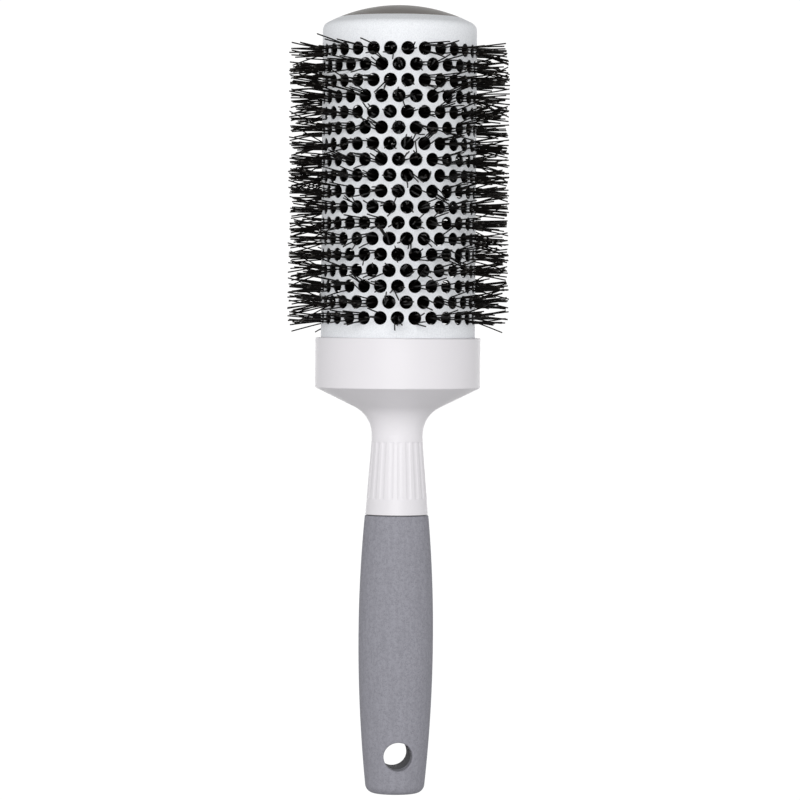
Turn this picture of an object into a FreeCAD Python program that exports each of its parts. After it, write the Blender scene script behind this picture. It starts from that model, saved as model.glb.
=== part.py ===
"""Round barrel brush: a perforated, ceramic-coated barrel with nylon bristles on a twisted wire,
a white handle with a collar cup, and a soft grip with a hang hole.

+Z runs along the brush from the hang hole towards the head, the hang hole runs along Y, and the
origin is the centre of the hang hole. Millimetres and degrees.
"""

import FreeCAD, Part
import math
import os

V = FreeCAD.Vector
UP = V(0, 0, 1)

# ---- Barrel ----
barrel_radius = 26.5
barrel_wall = 0.8
crown_radius = 54.0
shoulder_round = 3.0
mouth_radius = 20.8
mouth_round = 0.25
hole_radius = 2.3
holes_per_row = 28

# ---- Bristle rows, counted from the collar towards the head ----
row_count = 18
row_pitch = 5.36
first_row_margin = 6.8
last_row_margin = 7.4
bristle_reach = 11.5
tuft_gap = 0.45
root_band_wall = 1.4
root_band_height = 3.2

# ---- Twisted wire ----
strand_radius = 1.05
filament_gap = 0.2
twist_pitch = 9.0
wire_clearance = 0.1
wire_depth_in_neck = 38.0
ferrule_wall = 1.2
ferrule_length = 30.0

# ---- Discs and dome that close the barrel's ends ----
disc_clearance = 0.1
disc_to_row = 3.2
core_groove = 3.4
core_web = 2.0
core_hub_wall = 3.6
core_skin = 2.6
dome_clearance = 0.12
dome_rim_round = 0.35
dome_plug_depth = 2.85
dome_bead = 0.3
dome_bead_drop = 1.5
dome_bead_height = 0.9
dome_socket_depth = 3.4

# ---- Handle ----
collar_height = 17.2
collar_wall = 1.75
collar_edge_round = 0.35
pocket_clearance = 0.15
pocket_depth = 11.6
neck_length = 43.9
cone_height = 9.6
cone_fillet = 10.6
waist_radius = 8.8
waist_above_seam = 25.0
waist_blend = 30.0
seam_radius = 10.8
seam_groove_width = 0.35
seam_groove_depth = 0.5
flute_count = 20
flute_length = 19.5
flute_above_seam = 6.0
flute_width = 2.0
flute_depth = 0.24
tang_radius = 7.0
tang_key_step = 1.3
tang_key_height = 3.0
tang_key_pitch = 12.0
tang_end_round = 2.0

# ---- Grip ----
grip_length = 96.0
grip_top_radius = 10.95
grip_belly_radius = 12.85
grip_belly_height = 54.25
grip_end_radius = 9.88
grip_end_crown = 0.5
grip_end_round = 3.2
grip_lip_round = 0.4
hang_hole_radius = 4.9
hang_hole_round = 0.5
hang_hole_from_end = 13.65
tang_to_hang_hole = 6.0

# ---- Heights worked out from the lengths ----
grip_end_z = -hang_hole_from_end
seam_z = grip_end_z + grip_length
collar_z = seam_z + neck_length
rim_z = collar_z + collar_height
floor_z = rim_z - pocket_depth
first_row_z = rim_z + first_row_margin
last_row_z = first_row_z + (row_count - 1) * row_pitch
wall_top_z = last_row_z + last_row_margin
crown_rise = math.sqrt((crown_radius - shoulder_round) ** 2 - (barrel_radius - shoulder_round) ** 2)
crown_centre_z = wall_top_z - crown_rise
apex_z = crown_centre_z + crown_radius
lip_z = crown_centre_z + math.sqrt((crown_radius - barrel_wall) ** 2 - mouth_radius**2)
tang_end_z = hang_hole_radius + tang_to_hang_hole
wire_bottom_z = floor_z - wire_depth_in_neck
ferrule_bottom_z = wire_bottom_z
base_disc_top_z = first_row_z - disc_to_row
tip_disc_bottom_z = last_row_z + disc_to_row
dome_bottom_z = lip_z - dome_plug_depth
wire_top_z = dome_bottom_z + dome_socket_depth

# ---- Radii worked out from the fits ----
barrel_bore = barrel_radius - barrel_wall
pocket_radius = barrel_radius + pocket_clearance
collar_radius = pocket_radius + collar_wall
disc_radius = barrel_bore - disc_clearance
dome_radius = mouth_radius - dome_clearance
twist_radius = strand_radius + filament_gap / 2
wire_envelope = twist_radius + strand_radius
wire_bore = wire_envelope + wire_clearance
ferrule_radius = wire_bore + ferrule_wall
root_band_radius = wire_envelope + root_band_wall
tip_radius = barrel_radius + bristle_reach
tuft_radius_at_wall = hole_radius - tuft_gap
hole_pitch_deg = 360.0 / holes_per_row


def cylinder(radius, bottom, top):
    return Part.makeCylinder(radius, top - bottom, V(0, 0, bottom))


def outline_edges(corners):
    """Edges in the XZ plane through (radius, height, rounding) corners, each rounded by its own arc."""
    edges = []
    pen = None
    count = len(corners)
    for i in range(count):
        before = V(corners[i - 1][0], 0, corners[i - 1][1])
        here = V(corners[i][0], 0, corners[i][1])
        after = V(corners[(i + 1) % count][0], 0, corners[(i + 1) % count][1])
        rounding = corners[i][2]
        if rounding:
            inward = (before - here).normalize()
            onward = (after - here).normalize()
            half = inward.getAngle(onward) / 2
            reach = rounding / math.tan(half)
            start = here + inward * reach
            end = here + onward * reach
            middle = (inward + onward).normalize()
            crest = here + middle * (rounding / math.sin(half) - rounding)
        else:
            start = here
            end = here
        if pen is None:
            first = start
        else:
            edges.append(Part.makeLine(pen, start))
        if rounding:
            edges.append(Part.Arc(start, crest, end).toShape())
        pen = end
    edges.append(Part.makeLine(pen, first))
    return edges


def turned(edges):
    """The solid that a closed outline sweeps round Z."""
    face = Part.Face(Part.Wire(edges))
    solid = face.revolve(V(0, 0, 0), UP, 360)
    return Part.Solid(solid.Shells[0]) if solid.ShapeType != "Solid" else solid


def rims(solid, radius, low, high):
    """The solid's level circular edges of that radius between two heights."""
    found = []
    for edge in solid.Edges:
        box = edge.BoundBox
        round_edge = abs(box.XMax - radius) < 0.01 and abs(box.XMin + radius) < 0.01
        if round_edge and box.ZLength < 0.01 and low < box.ZMin < high:
            found.append(edge)
    return found


def around(solid, count, offset_deg=0.0):
    """Copies of a solid evenly round Z."""
    copies = []
    for i in range(count):
        copy = solid.copy()
        copy.rotate(V(0, 0, 0), UP, offset_deg + i * 360.0 / count)
        copies.append(copy)
    return copies


def crowned_side(radius, dome, rounding, bottom, inner_radius):
    """An upright side, a rounded shoulder and a shallow crown: its foot, its inner end and its edges."""
    centre = V(0, 0, crown_centre_z)
    rise = math.sqrt((dome - rounding) ** 2 - (radius - rounding) ** 2)
    corner = V(radius - rounding, 0, crown_centre_z + rise)
    lean = (corner - centre).normalize()
    foot = V(radius, 0, bottom)
    wall_top = corner + V(rounding, 0, 0)
    ridge = corner + (lean + V(1, 0, 0)).normalize() * rounding
    crown_edge = centre + lean * dome
    end = centre + V(inner_radius, 0, math.sqrt(dome**2 - inner_radius**2))
    crown_middle = centre + (crown_edge + end - centre * 2).normalize() * dome
    edges = [
        Part.makeLine(foot, wall_top),
        Part.Arc(wall_top, ridge, crown_edge).toShape(),
        Part.Arc(crown_edge, crown_middle, end).toShape(),
    ]
    return foot, end, edges


def row_offset(row):
    """Odd rows have a hole facing -Y and even rows sit half a pitch round from them."""
    return -90.0 + (row + 1) % 2 * hole_pitch_deg / 2


def row_height(row):
    return first_row_z + row * row_pitch


def make_barrel():
    foot, end, outer = crowned_side(barrel_radius, crown_radius, shoulder_round, floor_z, mouth_radius)
    bore_crown = crown_radius - barrel_wall
    bore_round = shoulder_round - barrel_wall
    bore_foot, bore_end, bore = crowned_side(barrel_bore, bore_crown, bore_round, floor_z, mouth_radius)
    shell = turned(outer + [Part.makeLine(end, bore_end)] + bore[::-1] + [Part.makeLine(bore_foot, foot)])
    shell = shell.makeFillet(mouth_round, rims(shell, mouth_radius, rim_z, apex_z))
    drill_start = barrel_bore - 2 * barrel_wall
    drill_length = 4 * barrel_wall
    drills = []
    for row in range(row_count):
        drill = Part.makeCylinder(hole_radius, drill_length, V(drill_start, 0, row_height(row)), V(1, 0, 0))
        drills += around(drill, holes_per_row, row_offset(row))
    return shell.cut(Part.Compound(drills))


def make_bristle_row(row):
    """The bundled roots as a band on the wire, and one slim cone for each hole's spread of filaments."""
    height = row_height(row)
    half = root_band_height / 2
    band = cylinder(root_band_radius, height - half, height + half)
    band = band.cut(cylinder(wire_envelope, height - half, height + half))
    slope = tuft_radius_at_wall / barrel_radius
    tuft = Part.makeCone(
        slope * root_band_radius,
        slope * tip_radius,
        tip_radius - root_band_radius,
        V(root_band_radius, 0, height),
        V(1, 0, 0),
    )
    return Part.Compound([band] + around(tuft, holes_per_row, row_offset(row)))


def make_core_wire(start_deg):
    """One steel strand of the twisted pair."""
    length = wire_top_z - wire_bottom_z - 2 * strand_radius
    helix = Part.Wire(Part.makeHelix(twist_pitch, length, twist_radius))
    lead = V(0, 2 * math.pi * twist_radius, twist_pitch)
    section = Part.Wire(Part.makeCircle(strand_radius, V(twist_radius, 0, 0), lead))
    strand = helix.makePipeShell([section], True, True)
    strand.translate(V(0, 0, wire_bottom_z + strand_radius))
    strand.rotate(V(0, 0, 0), UP, start_deg)
    return strand


def make_wire_ferrule():
    top = ferrule_bottom_z + ferrule_length
    return cylinder(ferrule_radius, ferrule_bottom_z, top).cut(cylinder(wire_bore, ferrule_bottom_z, top))


def core_grooves(low, high):
    """Ring grooves that core out a thick disc, from the hub to its rim."""
    grooves = []
    inner = wire_bore + core_hub_wall
    while inner + core_groove + core_web <= disc_radius:
        ring = cylinder(inner + core_groove, low, high).cut(cylinder(inner, low, high))
        grooves.append(ring)
        inner += core_groove + core_web
    return Part.Compound(grooves)


def make_base_disc():
    disc = cylinder(disc_radius, floor_z, base_disc_top_z)
    disc = disc.cut(cylinder(wire_bore, floor_z, base_disc_top_z))
    return disc.cut(core_grooves(floor_z, base_disc_top_z - core_skin))


def make_tip_disc():
    boss_radius = dome_radius - 2 * dome_bead
    disc = cylinder(disc_radius, tip_disc_bottom_z, wall_top_z)
    disc = disc.fuse(cylinder(boss_radius, tip_disc_bottom_z, dome_bottom_z)).removeSplitter()
    return disc.cut(cylinder(wire_bore, tip_disc_bottom_z, dome_bottom_z))


def make_end_dome():
    axis_foot = V(0, 0, dome_bottom_z)
    foot, apex, side = crowned_side(dome_radius, crown_radius, dome_rim_round, dome_bottom_z, 0)
    dome = turned(side + [Part.makeLine(apex, axis_foot), Part.makeLine(axis_foot, foot)])
    bead_top = lip_z - dome_bead_drop
    bead_middle = bead_top - dome_bead_height / 2
    bead = [
        (dome_radius - dome_bead, bead_top - dome_bead_height, 0),
        (dome_radius, bead_top - dome_bead_height, 0),
        (dome_radius + dome_bead, bead_middle, dome_bead / 2),
        (dome_radius, bead_top, 0),
        (dome_radius - dome_bead, bead_top, 0),
    ]
    dome = dome.fuse(turned(outline_edges(bead)))
    return dome.cut(cylinder(wire_bore, dome_bottom_z, wire_top_z))


def make_flutes():
    """Shallow flutes that follow the neck's taper, with square ends."""
    low = seam_z + flute_above_seam
    cutter_radius = (flute_width**2 / 4 + flute_depth**2) / (2 * flute_depth)
    taper = (seam_radius - waist_radius) / waist_above_seam
    low_radius = seam_radius - taper * flute_above_seam
    foot = V(low_radius - flute_depth + cutter_radius, 0, low)
    cutter = Part.makeCylinder(cutter_radius, flute_length, foot, V(-taper, 0, 1))
    return Part.Compound(around(cutter, flute_count))


def make_handle():
    outline = [
        (0, tang_end_z, 0),
        (tang_radius, tang_end_z, tang_end_round),
        (tang_radius, seam_z, 0),
        (seam_radius - seam_groove_depth, seam_z, 0),
        (seam_radius - seam_groove_depth, seam_z + seam_groove_width, 0),
        (seam_radius, seam_z + seam_groove_width, 0),
        (waist_radius, seam_z + waist_above_seam, waist_blend),
        (waist_radius, collar_z - cone_height, cone_fillet),
        (collar_radius, collar_z, collar_edge_round),
        (collar_radius, rim_z, collar_edge_round),
        (pocket_radius, rim_z, collar_edge_round),
        (pocket_radius, floor_z, 0),
        (ferrule_radius, floor_z, 0),
        (ferrule_radius, ferrule_bottom_z, 0),
        (0, ferrule_bottom_z, 0),
    ]
    handle = turned(outline_edges(outline))
    key_z = tang_end_z + tang_key_pitch
    while key_z + tang_key_height < seam_z - tang_key_pitch / 2:
        handle = handle.fuse(cylinder(tang_radius + tang_key_step, key_z, key_z + tang_key_height))
        key_z += tang_key_pitch
    return handle.cut(make_flutes())


def side_point(end_radius, span, share):
    """A point of the grip's side, an arc upright at the belly that reaches end_radius after span."""
    drop = grip_belly_radius - end_radius
    arc_radius = (span**2 + drop**2) / (2 * drop)
    height = span * share
    radius = grip_belly_radius - arc_radius + math.sqrt(arc_radius**2 - height**2)
    return V(radius, 0, grip_end_z + grip_belly_height + height)


def make_grip(handle):
    lower_span = -grip_belly_height
    upper_span = grip_length - grip_belly_height
    foot = side_point(grip_end_radius, lower_span, 1)
    belly = side_point(grip_end_radius, lower_span, 0)
    top = side_point(grip_top_radius, upper_span, 1)
    low_side = Part.Arc(foot, side_point(grip_end_radius, lower_span, 0.5), belly).toShape()
    high_side = Part.Arc(belly, side_point(grip_top_radius, upper_span, 0.5), top).toShape()
    edges = [
        low_side,
        high_side,
        Part.makeLine(top, V(0, 0, seam_z)),
        Part.makeLine(V(0, 0, seam_z), V(0, 0, grip_end_z)),
        Part.makeLine(V(0, 0, grip_end_z), foot),
    ]
    grip = turned(edges)
    crown = (grip_end_radius**2 + grip_end_crown**2) / (2 * grip_end_crown)
    grip = grip.common(Part.makeSphere(crown, V(0, 0, grip_end_z + crown)))
    ends = [edge for edge in grip.Edges if edge.BoundBox.ZMax < grip_end_z + 2 and edge.Length > 10]
    grip = grip.makeFillet(grip_end_round, ends)
    grip = grip.makeFillet(grip_lip_round, rims(grip, grip_top_radius, seam_z - 1, seam_z + 1))
    hole = Part.makeCylinder(hang_hole_radius, 4 * grip_belly_radius, V(0, -2 * grip_belly_radius, 0), V(0, 1, 0))
    grip = grip.cut(hole)
    mouths = []
    for edge in grip.Edges:
        box = edge.BoundBox
        beside = max(abs(box.ZMin), abs(box.ZMax), box.XMax) < hang_hole_radius + 0.01
        if beside and box.ZLength > hang_hole_radius:
            mouths.append(edge)
    mouths = [edge for edge in mouths if edge.BoundBox.YLength < hang_hole_radius]
    grip = grip.makeFillet(hang_hole_round, mouths)
    return grip.cut(handle)


def main():
    os.makedirs("parts", exist_ok=True)
    handle = make_handle()
    parts = {
        "handle": handle,
        "grip": make_grip(handle),
        "wire_ferrule": make_wire_ferrule(),
        "core_wire_a": make_core_wire(0),
        "core_wire_b": make_core_wire(180),
        "base_disc": make_base_disc(),
        "tip_disc": make_tip_disc(),
        "end_dome": make_end_dome(),
        "barrel": make_barrel(),
    }
    for row in range(row_count):
        parts[f"bristle_row_{row + 1:02d}"] = make_bristle_row(row)
    for name, shape in parts.items():
        shape.exportStep(f"parts/{name}.step")
        print(name, shape.isValid(), len(shape.Solids), round(shape.Volume, 1))


main()
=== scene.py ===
"""Round barrel brush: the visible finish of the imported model, laid out as a Blender add-on.

Metres, +Z from the hang hole towards the head, the hang hole along Y.
"""

import math
import random

import bmesh
import bpy
from mathutils import Matrix, Vector


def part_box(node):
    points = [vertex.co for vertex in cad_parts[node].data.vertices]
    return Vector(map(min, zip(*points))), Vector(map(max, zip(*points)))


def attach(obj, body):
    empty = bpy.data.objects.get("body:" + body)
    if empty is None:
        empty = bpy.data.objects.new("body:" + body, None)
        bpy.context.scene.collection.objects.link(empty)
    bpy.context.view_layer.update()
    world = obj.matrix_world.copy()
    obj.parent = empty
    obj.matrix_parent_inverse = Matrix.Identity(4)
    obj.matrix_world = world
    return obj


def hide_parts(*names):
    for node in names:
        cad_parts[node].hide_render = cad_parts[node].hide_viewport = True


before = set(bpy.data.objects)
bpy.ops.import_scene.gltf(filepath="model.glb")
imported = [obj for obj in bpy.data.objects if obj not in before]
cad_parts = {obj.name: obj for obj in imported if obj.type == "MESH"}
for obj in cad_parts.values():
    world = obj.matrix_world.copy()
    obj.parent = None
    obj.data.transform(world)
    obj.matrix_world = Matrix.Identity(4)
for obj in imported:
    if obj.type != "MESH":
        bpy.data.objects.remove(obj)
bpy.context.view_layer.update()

bl_info = {
    "name": "Round Barrel Brush",
    "version": (1, 0, 0),
    "blender": (4, 5, 0),
    "location": "View3D > Sidebar > Barrel Brush",
    "description": "Perforated barrel, nylon bristles, finishes and studio for a round barrel brush",
    "category": "Object",
}

BODY = "root"
MM = 0.001
HAIR = 0.01 * MM
FULL_CIRCLE = 2 * math.pi
AXIS = Vector((0, 0, 1))

# ---- Places read from the frame ----
ROW_NODES = sorted(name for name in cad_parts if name.startswith("bristle_row_"))
ROW_BOXES = [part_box(name) for name in ROW_NODES]
ROW_HEIGHTS = [(low.z + high.z) / 2 for low, high in ROW_BOXES]
ROW_PITCH = (ROW_HEIGHTS[-1] - ROW_HEIGHTS[0]) / (len(ROW_HEIGHTS) - 1)
BARREL_LOW, BARREL_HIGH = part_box("barrel")
BARREL_RADIUS = BARREL_HIGH.x
TUFT_TIP = ROW_BOXES[0][1].x
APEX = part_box("end_dome")[1].z
GRIP_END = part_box("grip")[0].z

# ---- Shape of the barrel that its box doesn't give, as in the CAD ----
HOLES_PER_ROW = 28
HOLE_TURN = FULL_CIRCLE / HOLES_PER_ROW
BARREL_WALL = 0.8 * MM
CROWN_RADIUS = 54 * MM
SHOULDER_ROUND = 3 * MM
MOUTH_RADIUS = 20.8 * MM
WIRE_RADIUS = 2.2 * MM
HANG_HOLE_RADIUS = 4.9 * MM

# ---- Finishes: where one stops and the next begins ----
COATED_DEPTH = 0.3 * MM
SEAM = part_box("grip")[1].z
# SEAM_SHADE is how high the painted shadow band reaches above the grip's top.
SEAM_SHADE = 0.38 * MM
# Painted shade in the hang hole's bore starts this far along Y.
PAINTED_BORE_SHADE_FROM = -4.5 * MM
BORE_MARGIN = 0.1 * MM
BARE_METAL = (0.16, 0.16, 0.165, 1)
# Colour of the painted shadow along the seam, standing in for the shade in the gap there.
SEAM_SHADOW_COLOUR = (0.05, 0.05, 0.055, 1)
CUT_NYLON = (0.06, 0.055, 0.05, 1)

# ---- Bristles: how the filaments of a tuft spread ----
CUT_SEED = 21
STEEPEST_LEAN = math.radians(26)
LOOSE_SHARE = 0.3
LOOSE_SPREAD = math.radians(15)
BUNCHED_SPREAD = math.radians(4)
SHARED_LEAN = 0.10
GATE_SCATTER = 0.9
GATE_GAP = 0.1 * MM
MISSED_LEAN = 0.25
# Pairs in mm: scatter round the brush and along it, or the least and the most
ROOT_SCATTER = (1.5, 2.0)
CURL_SCATTER = (0.5, 0.5)
MISSED_ROOT_SCATTER = (1.0, 2.0)
MISSED_GATE_REACH = (1.0, 3.4)
MISSED_SHORTFALL = (0.4, 2.0)
MISSED_COUNT = (1, 2)

# ---- Light ----
# Share of the surround's light from straight below (0) through level (0.5) to straight above (1)
SURROUND_BY_HEIGHT = ((0.02, 0.34), (0.3, 0.58), (0.46, 1.0), (0.52, 1.0), (0.7, 0.44), (0.98, 0.18))
PLAIN_WHITE = 1.05


def row_turn(row):
    """Odd rows have a hole facing -Y and even rows sit half a pitch round from them."""
    return -math.pi / 2 + (row + 1) % 2 * HOLE_TURN / 2


# ---- Sizes and colours that a user would change ----
def length(name, description, default, low, high):
    return bpy.props.FloatProperty(
        name=name,
        description=description,
        default=default,
        min=low,
        max=high,
        unit="LENGTH",
        precision=5,
    )


def colour(name, description, default):
    return bpy.props.FloatVectorProperty(
        name=name, description=description, default=default, min=0, max=1, size=3, subtype="COLOR"
    )


def power(name, description, default):
    return bpy.props.FloatProperty(
        name=name, description=description, default=default, min=0, unit="POWER"
    )


class BrushSizes(bpy.types.PropertyGroup):
    """Sizes of the modelled pieces."""

    hole_radius: length("Hole Radius", "Radius of each hole in the barrel", 2.3 * MM, MM, 2.5 * MM)
    rim_round: length("Rim Rounding", "Rounding of each hole's rim", 0.09 * MM, 0.05 * MM, 0.5 * MM)
    lip_round: length("Lip Rounding", "Rounding of the open mouth", 0.25 * MM, 0.05 * MM, 0.5 * MM)
    filament: length("Filament Diameter", "Diameter of one nylon filament", 0.5 * MM, 0.1 * MM, MM)
    trim: length("Trim", "How unevenly the filament ends are cut", 0.9 * MM, 0, 2 * MM)
    tufts: bpy.props.IntProperty(
        name="Tuft Patterns",
        description="Number of different tufts that are copied round",
        default=30,
        min=1,
        max=60,
    )
    fewest: bpy.props.IntProperty(
        name="Fewest Filaments", description="Fewest filaments out of one hole", default=3, min=1, max=8
    )
    most: bpy.props.IntProperty(
        name="Most Filaments", description="Most filaments out of one hole", default=5, min=1, max=10
    )


class BrushColours(bpy.types.PropertyGroup):
    """Colours of the finishes."""

    coating: colour("Barrel Coating", "Fine ceramic coat on the barrel", (0.905, 0.925, 0.96))
    handle: colour("Handle White", "Moulded handle", (0.84, 0.82, 0.85))
    grip: colour("Grip Grey", "Soft grip", (0.312, 0.310, 0.350))
    dome: colour("Dome Grey", "End dome", (0.215, 0.195, 0.180))
    nylon: colour("Bristle Black", "Nylon filaments", (0.0055, 0.0045, 0.004))
    steel: colour("Wire Steel", "Twisted wire and ferrule", (0.58, 0.58, 0.60))
    disc: colour("Disc White", "Discs inside the barrel", (0.78, 0.78, 0.78))


class StudioSettings(bpy.types.PropertyGroup):
    """Light and camera."""

    surround: bpy.props.FloatProperty(
        name="Surround", description="Light from all sides, 1 for full", default=0.92, min=0
    )
    key: power("Key", "Power of the front softbox", 3.0)
    top: power("Top", "Power of the overhead softbox", 0.3)
    back: power("Back", "Power of the rear softbox", 7.0)
    distance: length("Camera Distance", "From the lens to the brush's axis", 1.43, 0.5, 5)
    turn: bpy.props.FloatProperty(
        name="Camera Turn",
        description="Azimuth of the camera",
        default=math.radians(-6.1),
        subtype="ANGLE",
    )


# ---- Modelling helpers ----
def deselect():
    bpy.ops.object.select_all(action="DESELECT")


def newest(name):
    """Names the piece that an operator has just added."""
    piece = bpy.context.active_object
    piece.name = name
    piece.data.name = name
    return piece


def only(*pieces):
    """Selects these pieces alone, with the first one active."""
    deselect()
    for piece in pieces:
        piece.select_set(True)
    bpy.context.view_layer.objects.active = pieces[0]


def edit(piece):
    only(piece)
    bpy.ops.object.mode_set(mode="EDIT")


def leave():
    bpy.ops.object.mode_set(mode="OBJECT")


def pick(piece, kind, test):
    """Selects the vertices, edges or faces in edit mode that pass the test, and nothing else."""
    bpy.ops.mesh.select_mode(type=kind)
    bpy.ops.mesh.select_all(action="DESELECT")
    mesh = bmesh.from_edit_mesh(piece.data)
    parts = {"VERT": mesh.verts, "EDGE": mesh.edges, "FACE": mesh.faces}[kind]
    picked = [part for part in parts if test(part)]
    if not picked:
        raise RuntimeError(f"nothing to select on {piece.name}")
    for part in picked:
        part.select_set(True)
    mesh.select_flush_mode()
    bmesh.update_edit_mesh(piece.data)


def modify(piece, kind, **settings):
    """Adds a modifier and applies it."""
    only(piece)
    modifier = piece.modifiers.new(kind.title(), kind)
    for name, value in settings.items():
        setattr(modifier, name, value)
    bpy.ops.object.modifier_apply(modifier=modifier.name)


def settle(piece):
    """Leaves the object at the origin, with its place in its mesh."""
    only(piece)
    bpy.ops.object.transform_apply(location=True, rotation=True, scale=True)


def copy_of(piece, name, matrix):
    """A copy with its own mesh, moved by the matrix."""
    twin = bpy.data.objects.new(name, piece.data.copy())
    bpy.context.scene.collection.objects.link(twin)
    twin.data.transform(matrix)
    return twin


def joined(pieces, name):
    only(*pieces)
    bpy.ops.object.join()
    return newest(name)


def finish_piece(piece, material, slot, *nodes):
    """Gives a new piece its material and its body, and hides the CAD nodes that it stands for."""
    piece.data.materials.clear()
    piece.data.materials.append(material)
    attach(piece, BODY)
    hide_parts(*nodes)


def radial(point):
    return math.hypot(point.x, point.y)


# ---- Shader helpers ----
class Signal:
    """A shader output that arithmetic can be written on."""

    def __init__(self, shading, socket):
        self.shading = shading
        self.socket = socket

    def maths(self, operation, first, second):
        return self.shading.node("ShaderNodeMath", {"operation": operation}, {0: first, 1: second})

    def __add__(self, other):
        return self.maths("ADD", self, other)

    def __mul__(self, other):
        return self.maths("MULTIPLY", self, other)

    def __rsub__(self, other):
        return self.maths("SUBTRACT", other, self)

    def __gt__(self, other):
        return self.maths("GREATER_THAN", self, other)

    def __lt__(self, other):
        return self.maths("LESS_THAN", self, other)

    __radd__ = __add__
    __rmul__ = __mul__


class Shading:
    """The nodes of a material or of the surround."""

    def __init__(self, tree):
        self.tree = tree

    def node(self, kind, settings=None, sockets=None, output=0):
        made = self.tree.nodes.new(kind)
        for name, value in (settings or {}).items():
            if name == "stops":
                self.set_stops(made.color_ramp, value)
            else:
                setattr(made, name, value)
        for key, value in (sockets or {}).items():
            self.feed(made.inputs[key], value)
        return Signal(self, made.outputs[output])

    def set_stops(self, ramp, stops):
        ramp.elements.remove(ramp.elements[1])
        ramp.elements[0].position = stops[0][0]
        for place, _ in stops[1:]:
            ramp.elements.new(place)
        for element, (_, grey) in zip(ramp.elements, stops):
            element.color = (grey, grey, grey, 1)

    def feed(self, socket, value):
        if isinstance(value, Signal):
            self.tree.links.new(value.socket, socket)
        else:
            socket.default_value = value


class Finish(Shading):
    """A procedural material round one Principled shader."""

    def __init__(self, name, **constants):
        self.material = bpy.data.materials.new(name)
        self.material.use_nodes = True
        super().__init__(self.material.node_tree)
        self.shader = self.tree.nodes["Principled BSDF"]
        for socket, value in constants.items():
            self.shader.inputs[socket.replace("_", " ")].default_value = value
        self.place = self.node("ShaderNodeTexCoord", output="Object")

    def height(self):
        return self.node("ShaderNodeSeparateXYZ", sockets={0: self.place}, output="Z")

    def depth(self):
        return self.node("ShaderNodeSeparateXYZ", sockets={0: self.place}, output="Y")

    def away_from(self, foot):
        """Distance from a point on an axis that moves along with the surface."""
        spoke = self.node("ShaderNodeVectorMath", {"operation": "SUBTRACT"}, {0: self.place, 1: foot})
        return self.node("ShaderNodeVectorMath", {"operation": "LENGTH"}, {0: spoke}, output="Value")

    def reach(self):
        """Distance from the brush's axis."""
        return self.away_from(self.node("ShaderNodeCombineXYZ", sockets={2: self.height()}))

    def hole_reach(self):
        """Distance from the hang hole's axis, which lies along Y through the origin."""
        return self.away_from(self.node("ShaderNodeCombineXYZ", sockets={1: self.depth()}))

    def noise(self, size, detail=2.0, place=None, warp=0.0):
        """Noise whose features are about that size in metres."""
        sockets = {"Scale": 1 / size, "Detail": detail, "Distortion": warp}
        sockets["Vector"] = place or self.place
        return self.node("ShaderNodeTexNoise", sockets=sockets)

    def ramp(self, signal, low, high):
        """Black up to low, white from high on, and greys between."""
        return self.node("ShaderNodeValToRGB", {"stops": ((low, 0), (high, 1))}, {0: signal})

    def blend(self, share, first, second):
        """Two colours mixed by a share."""
        sockets = {0: share, 6: first, 7: second}
        return self.node("ShaderNodeMix", {"data_type": "RGBA"}, sockets, output=2)

    def bump(self, height, depth, strength):
        sockets = {"Strength": strength, "Distance": depth, "Height": height}
        return self.node("ShaderNodeBump", sockets=sockets)

    def set(self, **signals):
        for name, value in signals.items():
            self.feed(self.shader.inputs[name.replace("_", " ")], value)
        return self.material


def shade(rgb, factor):
    """A colour made darker or paler, with its alpha."""
    return tuple(min(1.0, value * factor) for value in rgb) + (1.0,)


def ceramic_coating(rgb):
    """Fine gritty coat outside, bare metal in the holes and the bore."""
    fleck_strength = 0.35
    metal_shine = 0.9
    finish = Finish("ceramic_coating", Specular_IOR_Level=0.35)
    grit = finish.noise(size=0.42 * MM, detail=3.0)
    fleck = finish.noise(size=0.9 * MM, detail=2.0)
    tone = finish.ramp(grit, low=0.34, high=0.66)
    fleck_mask = finish.ramp(fleck, low=0.60, high=0.72)
    base = finish.blend(tone, shade(rgb, 0.93), shade(rgb, 1.05))
    base = finish.blend(fleck_mask * fleck_strength, base, shade(rgb, 0.84))
    under_crown = 1 - (finish.height() > ROW_HEIGHTS[-1] + ROW_PITCH)
    inside = (1 - (finish.reach() > BARREL_RADIUS - COATED_DEPTH)) * under_crown
    base = finish.blend(inside, base, BARE_METAL)
    return finish.set(
        Base_Color=base,
        Metallic=inside * metal_shine,
        Roughness=0.50 + tone * 0.16,
        Normal=finish.bump(grit, depth=0.03 * MM, strength=0.7),
    )


def handle_plastic(rgb):
    """Smooth white plastic with a thin painted shadow line where the grip begins."""
    seam_shadow_strength = 0.9
    finish = Finish("handle_plastic", Specular_IOR_Level=0.5)
    flow = finish.noise(size=14 * MM, detail=2.0, warp=0.6)
    grain = finish.noise(size=0.3 * MM, detail=2.0)
    base = finish.blend(flow, shade(rgb, 0.985), shade(rgb, 1.015))
    # Painted shadow: a dark band just above the grip's top stands in for the shade in the gap at the
    # seam.
    seam_shadow = 1 - (finish.height() > SEAM + SEAM_SHADE)
    base = finish.blend(seam_shadow * seam_shadow_strength, base, SEAM_SHADOW_COLOUR)
    return finish.set(
        Base_Color=base,
        Roughness=0.34 + grain * 0.10,
        Normal=finish.bump(grain, depth=0.012 * MM, strength=0.5),
    )


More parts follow.
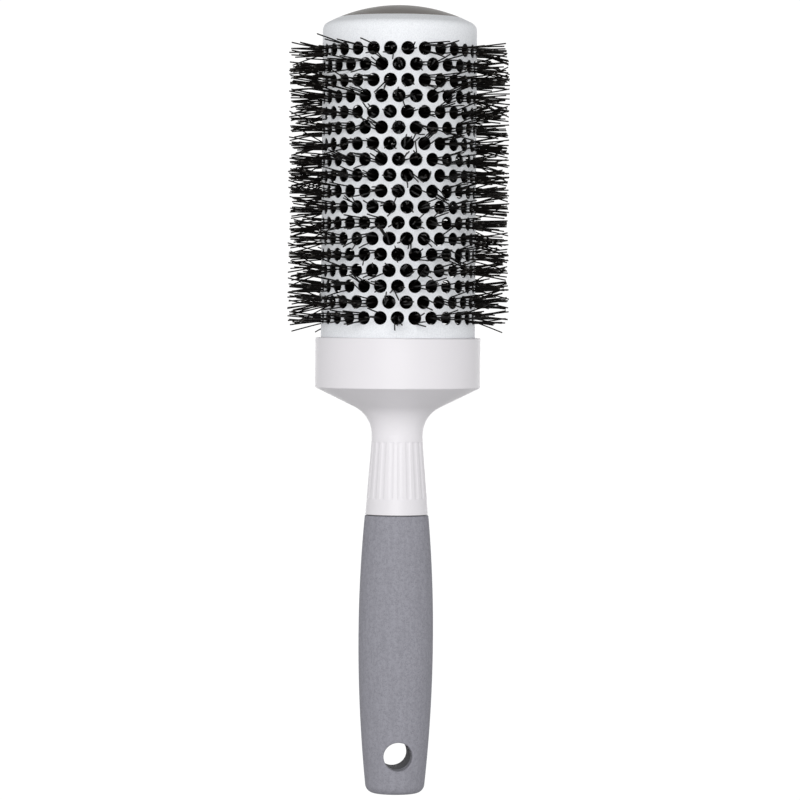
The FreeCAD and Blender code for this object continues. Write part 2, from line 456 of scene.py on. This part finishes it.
def soft_grip(rgb):
    """Matt, mottled soft plastic with faint streaks along it, with painted shade deep in the hang hole.
    """
    mottle_strength = 0.6
    streak_strength = 0.3
    bore_shade_strength = 0.8
    stretch = (1, 1, 0.12)
    finish = Finish("soft_grip", Specular_IOR_Level=0.12)
    grain = finish.noise(size=0.36 * MM, detail=3.0)
    mottle = finish.noise(size=1.1 * MM, detail=2.0)
    drawn = finish.node("ShaderNodeMapping", {"vector_type": "POINT"}, {0: finish.place, 3: stretch})
    streak = finish.noise(size=1.4 * MM, detail=2.0, place=drawn)
    speckle = finish.ramp(grain, low=0.3, high=0.7)
    cloud = finish.ramp(mottle, low=0.42, high=0.62) * mottle_strength
    drag = finish.ramp(streak, low=0.42, high=0.66) * streak_strength
    # Painted shade: the bore of the hang hole is darkened in colour where shade falls deep inside it.
    in_hole = finish.hole_reach() < HANG_HOLE_RADIUS + BORE_MARGIN
    bore = in_hole * (finish.depth() > PAINTED_BORE_SHADE_FROM) * bore_shade_strength
    base = finish.blend(speckle, shade(rgb, 0.78), shade(rgb, 1.16))
    base = finish.blend(cloud, base, shade(rgb, 1.18))
    base = finish.blend(drag, base, shade(rgb, 0.82))
    base = finish.blend(bore, base, shade(rgb, 0.22))
    return finish.set(
        Base_Color=base,
        Roughness=0.66 + grain * 0.16,
        Normal=finish.bump(grain, depth=0.06 * MM, strength=0.9),
    )


def dome_plastic(rgb):
    """Satin grey plastic of the end dome."""
    finish = Finish("dome_plastic", Specular_IOR_Level=0.5)
    grain = finish.noise(size=0.3 * MM, detail=3.0)
    base = finish.blend(grain, shade(rgb, 0.93), shade(rgb, 1.07))
    return finish.set(
        Base_Color=base,
        Roughness=0.38 + grain * 0.14,
        Normal=finish.bump(grain, depth=0.02 * MM, strength=0.6),
    )


def nylon(rgb, tip_radius):
    """Black filament, a little paler where the ends are cut."""
    cut_strength = 0.6
    finish = Finish("nylon_filament", Specular_IOR_Level=0.06)
    streak = finish.noise(size=2.5 * MM, detail=1.0)
    base = finish.blend(streak, shade(rgb, 0.7), shade(rgb, 1.6))
    base = finish.blend((finish.reach() > tip_radius) * cut_strength, base, CUT_NYLON)
    return finish.set(Base_Color=base, Roughness=0.32 + streak * 0.18)


def steel(rgb):
    """Drawn wire and tube."""
    finish = Finish("drawn_steel", Metallic=1.0)
    scratch = finish.noise(size=0.5 * MM, detail=4.0)
    base = finish.blend(scratch, shade(rgb, 0.85), shade(rgb, 1.1))
    return finish.set(
        Base_Color=base,
        Roughness=0.25 + scratch * 0.2,
        Normal=finish.bump(scratch, depth=0.01 * MM, strength=0.5),
    )


def disc_plastic(rgb):
    """Plain moulded plastic of the two discs inside."""
    finish = Finish("disc_plastic", Specular_IOR_Level=0.4)
    grain = finish.noise(size=0.4 * MM, detail=2.0)
    base = finish.blend(grain, shade(rgb, 0.95), shade(rgb, 1.03))
    return finish.set(
        Base_Color=base,
        Roughness=0.5 + grain * 0.1,
        Normal=finish.bump(grain, depth=0.02 * MM, strength=0.5),
    )


def dress_node(name, material):
    """Puts a finish on a CAD node that keeps its own shape."""
    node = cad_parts[name]
    if not node.material_slots:
        node.data.materials.append(material)
    for slot in node.material_slots:
        slot.material = material


# ---- Barrel ----
def flat_cell(hole_radius):
    """One hole's square of sheet, lying flat, with X along the turn and Y along the brush."""
    sides = 6
    width = HOLE_TURN * BARREL_RADIUS
    edge_x = width / 2 - HAIR
    edge_y = ROW_PITCH / 2 - HAIR
    deselect()
    bpy.ops.mesh.primitive_grid_add(x_subdivisions=sides, y_subdivisions=sides, size=1)
    cell = newest("barrel_shell")
    cell.scale = (width, ROW_PITCH, 1)
    settle(cell)
    edit(cell)
    pick(cell, "VERT", lambda v: abs(v.co.x) < edge_x and abs(v.co.y) < edge_y)
    bpy.ops.mesh.delete(type="VERT")
    bpy.ops.mesh.primitive_circle_add(vertices=4 * sides, radius=hole_radius, fill_type="NOTHING")
    bpy.ops.mesh.select_mode(type="EDGE")
    bpy.ops.mesh.select_all(action="SELECT")
    bpy.ops.mesh.bridge_edge_loops()
    leave()
    return cell


def sheet_of_cells(cell):
    """The whole pattern, flat: pairs of rows, the second half a cell along."""
    width = HOLE_TURN * BARREL_RADIUS
    modify(
        cell,
        "ARRAY",
        count=HOLES_PER_ROW,
        use_relative_offset=False,
        use_constant_offset=True,
        constant_offset_displace=(width, 0, 0),
    )
    second = copy_of(cell, "second_row", Matrix.Translation((-width / 2, ROW_PITCH, 0)))
    sheet = joined([cell, second], "barrel_shell")
    modify(
        sheet,
        "ARRAY",
        count=len(ROW_HEIGHTS) // 2,
        use_relative_offset=False,
        use_constant_offset=True,
        constant_offset_displace=(0, 2 * ROW_PITCH, 0),
    )
    return sheet


def wrap(sheet):
    """Rolls the flat sheet round the brush's axis."""
    start = row_turn(0)
    for vertex in sheet.data.vertices:
        turn = start + vertex.co.x / BARREL_RADIUS
        height = ROW_HEIGHTS[0] + vertex.co.y
        vertex.co = (BARREL_RADIUS * math.cos(turn), BARREL_RADIUS * math.sin(turn), height)


def crown_profile():
    """(radius, height) steps from the top of the straight wall, over the shoulder, to the mouth."""
    centre = APEX - CROWN_RADIUS
    inset = BARREL_RADIUS - SHOULDER_ROUND
    rise = math.sqrt((CROWN_RADIUS - SHOULDER_ROUND) ** 2 - inset**2)
    lean = math.atan2(rise, inset)
    steps = 7
    rings = 4
    profile = [(BARREL_RADIUS, centre + rise)]
    for step in range(1, steps + 1):
        turn = lean * step / steps
        radius = inset + SHOULDER_ROUND * math.cos(turn)
        profile.append((radius, centre + rise + SHOULDER_ROUND * math.sin(turn)))
    crown_edge = profile[-1][0]
    for ring in range(1, rings + 1):
        radius = crown_edge + (MOUTH_RADIUS - crown_edge) * ring / rings
        profile.append((radius, centre + math.sqrt(CROWN_RADIUS**2 - radius**2)))
    return profile


def extend(shell, height):
    """Draws the selected loop out along the brush to a height."""
    loop = [v.co.z for v in bmesh.from_edit_mesh(shell.data).verts if v.select]
    reach = height - sum(loop) / len(loop)
    bpy.ops.mesh.extrude_region_move(TRANSFORM_OT_translate={"value": (0, 0, reach)})


def close_ends(shell):
    """Draws the sheet's edges down to the barrel's foot and up over the shoulder to the mouth."""
    low = min(v.co.z for v in shell.data.vertices) + HAIR
    high = max(v.co.z for v in shell.data.vertices) - HAIR
    edit(shell)
    pick(shell, "EDGE", lambda e: max(v.co.z for v in e.verts) < low)
    extend(shell, BARREL_LOW.z)
    pick(shell, "EDGE", lambda e: min(v.co.z for v in e.verts) > high)
    radius = BARREL_RADIUS
    for ring_radius, height in crown_profile():
        extend(shell, height)
        share = ring_radius / radius
        bpy.ops.transform.resize(value=(share, share, 1), center_override=(0, 0, 0))
        radius = ring_radius
    bpy.ops.mesh.select_all(action="SELECT")
    bpy.ops.mesh.normals_make_consistent(inside=False)
    leave()


def square_mouth(shell):
    """Stands the mouth's end face upright, as its bore is, so that the dome's plug clears it."""
    for vertex in shell.data.vertices:
        reach = radial(vertex.co)
        if reach < MOUTH_RADIUS:
            vertex.co.x *= MOUTH_RADIUS / reach
            vertex.co.y *= MOUTH_RADIUS / reach


def round_rims(shell, rim_round, lip_round):
    """Rounds the outer rim of every hole, and the lip of the mouth."""
    skin = BARREL_RADIUS - BARREL_WALL / 4
    sharp = math.radians(50)
    holes_top = ROW_HEIGHTS[-1] + ROW_PITCH / 2
    holes_bottom = BARREL_LOW.z + ROW_PITCH / 2

    def corner(edge):
        return len(edge.link_faces) == 2 and edge.calc_face_angle() >= sharp

    def outer_rim(edge):
        spots = [v.co for v in edge.verts]
        return corner(edge) and all(radial(c) > skin and holes_bottom < c.z < holes_top for c in spots)

    def lip(edge):
        widest = MOUTH_RADIUS + BARREL_WALL / 2
        return corner(edge) and all(v.co.z > holes_top and radial(v.co) < widest for v in edge.verts)

    edit(shell)
    pick(shell, "EDGE", outer_rim)
    bpy.ops.mesh.bevel(offset=rim_round, segments=2, affect="EDGES")
    pick(shell, "EDGE", lip)
    bpy.ops.mesh.bevel(offset=lip_round, segments=2, affect="EDGES")
    leave()


class BARRELBRUSH_OT_barrel(bpy.types.Operator):
    """Models the perforated barrel with rounded hole rims and coats it"""

    bl_idname = "barrelbrush.barrel"
    bl_label = "Barrel"

    def execute(self, context):
        sizes = context.scene.brush_sizes
        shell = sheet_of_cells(flat_cell(sizes.hole_radius))
        wrap(shell)
        edit(shell)
        bpy.ops.mesh.select_all(action="SELECT")
        bpy.ops.mesh.remove_doubles(threshold=0.005 * MM)
        leave()
        close_ends(shell)
        modify(shell, "SOLIDIFY", thickness=BARREL_WALL, offset=-1, use_even_offset=True)
        square_mouth(shell)
        round_rims(shell, sizes.rim_round, sizes.lip_round)
        only(shell)
        bpy.ops.object.shade_smooth_by_angle(angle=math.radians(40))
        modify(shell, "WEIGHTED_NORMAL", mode="FACE_AREA", keep_sharp=True)
        coating = ceramic_coating(tuple(context.scene.brush_colours.coating))
        finish_piece(shell, coating, "barrel_coating", "barrel")
        return {"FINISHED"}


# ---- Bristles ----
def straight_filament(diameter):
    """One filament along X, from the wire to the trimmed end, ringed where it will bend."""
    sides = 5
    rings = 7
    reach = TUFT_TIP - WIRE_RADIUS
    deselect()
    bpy.ops.mesh.primitive_cylinder_add(
        vertices=sides,
        radius=diameter / 2,
        depth=reach,
        location=(WIRE_RADIUS + reach / 2, 0, 0),
        rotation=(0, math.pi / 2, 0),
        end_fill_type="NGON",
    )
    filament = newest("filament")
    settle(filament)
    edit(filament)
    pick(filament, "EDGE", lambda e: abs(e.verts[0].co.x - e.verts[1].co.x) > reach / 2)
    bpy.ops.mesh.subdivide(number_cuts=rings)
    leave()
    return filament


def bent(filament, root, gate, lean, curl, tip):
    """A copy that runs from the root through the gate in the wall and leans on to its tip."""
    twin = copy_of(filament, "bent_filament", Matrix.Identity(4))
    for vertex in twin.data.vertices:
        share = (vertex.co.x - WIRE_RADIUS) / (TUFT_TIP - WIRE_RADIUS)
        along = WIRE_RADIUS + (tip - WIRE_RADIUS) * share
        if along < BARREL_RADIUS:
            inner = (along - WIRE_RADIUS) / (BARREL_RADIUS - WIRE_RADIUS)
            ease = inner * inner * (3 - 2 * inner)
            side = root.lerp(gate, ease) + lean * (BARREL_RADIUS - WIRE_RADIUS) * (inner**3 - inner**2)
        else:
            outer = along - BARREL_RADIUS
            side = gate + lean * outer + curl * (outer / (TUFT_TIP - BARREL_RADIUS)) ** 2
        vertex.co = (along, vertex.co.y + side.x, vertex.co.z + side.y)
    return twin


def heading(way):
    return Vector((math.cos(way), math.sin(way)))


def scatter(draw, across, along):
    """A random offset round the brush and along it."""
    return Vector((draw.gauss(0, across), draw.gauss(0, along)))


def tuft(filament, draw, sizes, name):
    """The filaments that come out of one hole, and the ones that miss it and lie behind the wall."""
    thin = sizes.filament / 2
    strands = []
    shared = scatter(draw, SHARED_LEAN, SHARED_LEAN)
    for _ in range(draw.randint(sizes.fewest, sizes.most)):
        loose = draw.random() < LOOSE_SHARE
        spread = LOOSE_SPREAD if loose else BUNCHED_SPREAD
        way = draw.uniform(0, FULL_CIRCLE)
        lean = heading(way) * math.tan(min(abs(draw.gauss(0, spread)), STEEPEST_LEAN)) + shared
        lean = lean.normalized() * min(lean.length, math.tan(STEEPEST_LEAN))
        gate_turn = way + draw.gauss(0, GATE_SCATTER)
        gate_reach = (sizes.hole_radius - thin - GATE_GAP) * math.sqrt(draw.random())
        root = scatter(draw, *ROOT_SCATTER) * MM
        curl = scatter(draw, *CURL_SCATTER) * MM
        tip = TUFT_TIP - sizes.trim * draw.random()
        strands.append(bent(filament, root, heading(gate_turn) * gate_reach, lean, curl, tip))
    for _ in range(draw.randint(*MISSED_COUNT)):
        out = heading(draw.uniform(0, FULL_CIRCLE))
        gate = out * draw.uniform(*MISSED_GATE_REACH) * MM
        root = scatter(draw, *MISSED_ROOT_SCATTER) * MM - out * MM
        tip = BARREL_RADIUS - BARREL_WALL - draw.uniform(*MISSED_SHORTFALL) * MM
        strands.append(bent(filament, root, gate, out * MISSED_LEAN, Vector((0, 0)), tip))
    return joined(strands, name)


class BARRELBRUSH_OT_bristles(bpy.types.Operator):
    """Models the nylon filaments, tuft by tuft, one piece for each row of holes"""

    bl_idname = "barrelbrush.bristles"
    bl_label = "Bristles"

    def execute(self, context):
        sizes = context.scene.brush_sizes
        draw = random.Random(CUT_SEED)
        filament = straight_filament(sizes.filament)
        tufts = [tuft(filament, draw, sizes, f"tuft_{i:02d}") for i in range(sizes.tufts)]
        material = nylon(tuple(context.scene.brush_colours.nylon), TUFT_TIP - 1.2 * sizes.trim)
        for row, node in enumerate(ROW_NODES):
            around = []
            for hole in range(HOLES_PER_ROW):
                place = Matrix.Translation((0, 0, ROW_HEIGHTS[row]))
                place @= Matrix.Rotation(row_turn(row) + hole * HOLE_TURN, 4, "Z")
                place @= Matrix.Rotation(draw.uniform(0, FULL_CIRCLE), 4, "X")
                around.append(copy_of(draw.choice(tufts), f"row_{row}_{hole}", place))
            bristles = joined(around, node.replace("row", "filaments"))
            bpy.ops.object.shade_smooth_by_angle(angle=math.radians(60))
            finish_piece(bristles, material, "bristle_nylon", node)
        for scrap in tufts + [filament]:
            bpy.data.objects.remove(scrap)
        return {"FINISHED"}


# ---- Finishes of the pieces that keep their CAD shape ----
class BARRELBRUSH_OT_handle(bpy.types.Operator):
    """Finishes the white moulded handle"""

    bl_idname = "barrelbrush.handle"
    bl_label = "Handle"

    def execute(self, context):
        dress_node("handle", handle_plastic(tuple(context.scene.brush_colours.handle)))
        return {"FINISHED"}


class BARRELBRUSH_OT_grip(bpy.types.Operator):
    """Finishes the soft grip"""

    bl_idname = "barrelbrush.grip"
    bl_label = "Grip"

    def execute(self, context):
        dress_node("grip", soft_grip(tuple(context.scene.brush_colours.grip)))
        return {"FINISHED"}


class BARRELBRUSH_OT_dome(bpy.types.Operator):
    """Finishes the grey end dome"""

    bl_idname = "barrelbrush.dome"
    bl_label = "End Dome"

    def execute(self, context):
        dress_node("end_dome", dome_plastic(tuple(context.scene.brush_colours.dome)))
        return {"FINISHED"}


class BARRELBRUSH_OT_core(bpy.types.Operator):
    """Finishes the twisted wire, its ferrule and the two discs inside the barrel"""

    bl_idname = "barrelbrush.core"
    bl_label = "Core"

    def execute(self, context):
        colours = context.scene.brush_colours
        wire = steel(tuple(colours.steel))
        disc = disc_plastic(tuple(colours.disc))
        for name in ("core_wire_a", "core_wire_b", "wire_ferrule"):
            dress_node(name, wire)
        for name in ("base_disc", "tip_disc"):
            dress_node(name, disc)
        return {"FINISHED"}


# ---- Studio ----
def studio_floor(height):
    """A pale round floor well below the brush, which hangs from its hole and doesn't stand."""
    radius = 0.35
    thickness = 0.02
    deselect()
    bpy.ops.mesh.primitive_circle_add(
        vertices=96, radius=radius, fill_type="NGON", location=(0, 0, height)
    )
    floor = newest("studio_floor")
    settle(floor)
    edit(floor)
    bpy.ops.mesh.select_all(action="SELECT")
    bpy.ops.mesh.extrude_region_move(TRANSFORM_OT_translate={"value": (0, 0, -thickness)})
    bpy.ops.mesh.select_all(action="SELECT")
    bpy.ops.mesh.normals_make_consistent(inside=False)
    leave()
    finish = Finish("studio_paper", Specular_IOR_Level=0.1)
    mottle = finish.noise(size=radius, detail=2.0)
    base = finish.blend(mottle, (0.84, 0.84, 0.84, 1), (0.87, 0.87, 0.87, 1))
    floor.data.materials.append(finish.set(Base_Color=base, Roughness=0.85 + mottle * 0.1))


def softbox(name, centre, aim, width, height, watts):
    data = bpy.data.lights.new(name, "AREA")
    data.shape = "RECTANGLE"
    data.size = width
    data.size_y = height
    data.energy = watts
    lamp = bpy.data.objects.new(name, data)
    bpy.context.scene.collection.objects.link(lamp)
    lamp.location = centre
    lamp.rotation_euler = (Vector(aim) - Vector(centre)).to_track_quat("-Z", "Y").to_euler()


def surround_light(strength):
    """A surround that is brightest level with the brush. The camera itself sees it as plain white."""
    world = bpy.data.worlds.new("studio_surround")
    bpy.context.scene.world = world
    world.use_nodes = True
    shading = Shading(world.node_tree)
    way = shading.node("ShaderNodeTexCoord", output="Generated")
    rise = shading.node("ShaderNodeSeparateXYZ", sockets={0: way}, output="Z") * 0.5 + 0.5
    share = shading.node("ShaderNodeValToRGB", {"stops": SURROUND_BY_HEIGHT}, {0: rise})
    seen = shading.node("ShaderNodeLightPath", output="Is Camera Ray")
    shell = world.node_tree.nodes["Background"]
    shell.inputs["Color"].default_value = (1, 1, 1, 1)
    shading.feed(shell.inputs["Strength"], seen * PLAIN_WHITE + (1 - seen) * share * strength)


def studio_camera(distance, turn):
    """A long lens at the barrel's lower rows, looking slightly down."""
    aim_height = 122.0 * MM
    eye_height = 153.0 * MM
    side_shift = 0.9 * MM
    roll = math.radians(0.4)
    frame_width = 275.2 * MM
    data = bpy.data.cameras.new("studio_camera")
    data.sensor_width = 36.0
    data.lens = data.sensor_width * distance / frame_width
    data.clip_start = 0.01
    camera = bpy.data.objects.new("studio_camera", data)
    bpy.context.scene.collection.objects.link(camera)
    right = Vector((math.cos(turn), math.sin(turn), 0))
    away = Vector((math.sin(turn), -math.cos(turn), 0))
    eye = away * distance + AXIS * eye_height + right * side_shift
    aim = AXIS * aim_height + right * side_shift
    camera.location = eye
    look = (aim - eye).to_track_quat("-Z", "Y").to_matrix().to_4x4() @ Matrix.Rotation(roll, 4, "Z")
    camera.rotation_euler = look.to_euler()
    bpy.context.scene.camera = camera


class BARRELBRUSH_OT_stage(bpy.types.Operator):
    """Sets the floor, the soft lights and the camera"""

    bl_idname = "barrelbrush.stage"
    bl_label = "Studio"

    def execute(self, context):
        studio = context.scene.brush_studio
        floor_drop = 0.4
        middle = (0, 0, 0.12)
        studio_floor(GRIP_END - floor_drop)
        surround_light(studio.surround)
        softbox(
            "key_softbox",
            centre=(-0.12, -0.75, 0.33),
            aim=(0, 0, 0.10),
            width=0.55,
            height=0.24,
            watts=studio.key,
        )
        softbox(
            "top_softbox",
            centre=(0, 0.1, 1.3),
            aim=middle,
            width=1.4,
            height=1.4,
            watts=studio.top,
        )
        softbox(
            "back_softbox",
            centre=(0.2, 1.5, 0.4),
            aim=middle,
            width=1.6,
            height=1.4,
            watts=studio.back,
        )
        studio_camera(studio.distance, studio.turn)
        context.scene.view_settings.view_transform = "Standard"
        return {"FINISHED"}


OPERATORS = (
    BARRELBRUSH_OT_barrel,
    BARRELBRUSH_OT_bristles,
    BARRELBRUSH_OT_handle,
    BARRELBRUSH_OT_grip,
    BARRELBRUSH_OT_dome,
    BARRELBRUSH_OT_core,
    BARRELBRUSH_OT_stage,
)
GROUPS = {"brush_sizes": BrushSizes, "brush_colours": BrushColours, "brush_studio": StudioSettings}


class BARRELBRUSH_PT_panel(bpy.types.Panel):
    """Lists the brush's settings and the operators that build it"""

    bl_idname = "BARRELBRUSH_PT_panel"
    bl_label = "Round Barrel Brush"
    bl_space_type = "VIEW_3D"
    bl_region_type = "UI"
    bl_category = "Barrel Brush"

    def draw(self, context):
        for group_name, group in GROUPS.items():
            box = self.layout.box()
            for field in group.__annotations__:
                box.prop(getattr(context.scene, group_name), field)
        for operator in OPERATORS:
            self.layout.operator(operator.bl_idname)


def register():
    for cls in (*GROUPS.values(), *OPERATORS, BARRELBRUSH_PT_panel):
        bpy.utils.register_class(cls)
    for name, group in GROUPS.items():
        setattr(bpy.types.Scene, name, bpy.props.PointerProperty(type=group))


def unregister():
    for name in GROUPS:
        delattr(bpy.types.Scene, name)
    for cls in (BARRELBRUSH_PT_panel, *reversed(OPERATORS), *reversed(GROUPS.values())):
        bpy.utils.unregister_class(cls)


def main():
    register()
    bpy.ops.barrelbrush.stage()
    bpy.ops.barrelbrush.barrel()
    bpy.ops.barrelbrush.bristles()
    bpy.ops.barrelbrush.handle()
    bpy.ops.barrelbrush.grip()
    bpy.ops.barrelbrush.dome()
    bpy.ops.barrelbrush.core()
    deselect()


if __name__ == "__main__":
    main()
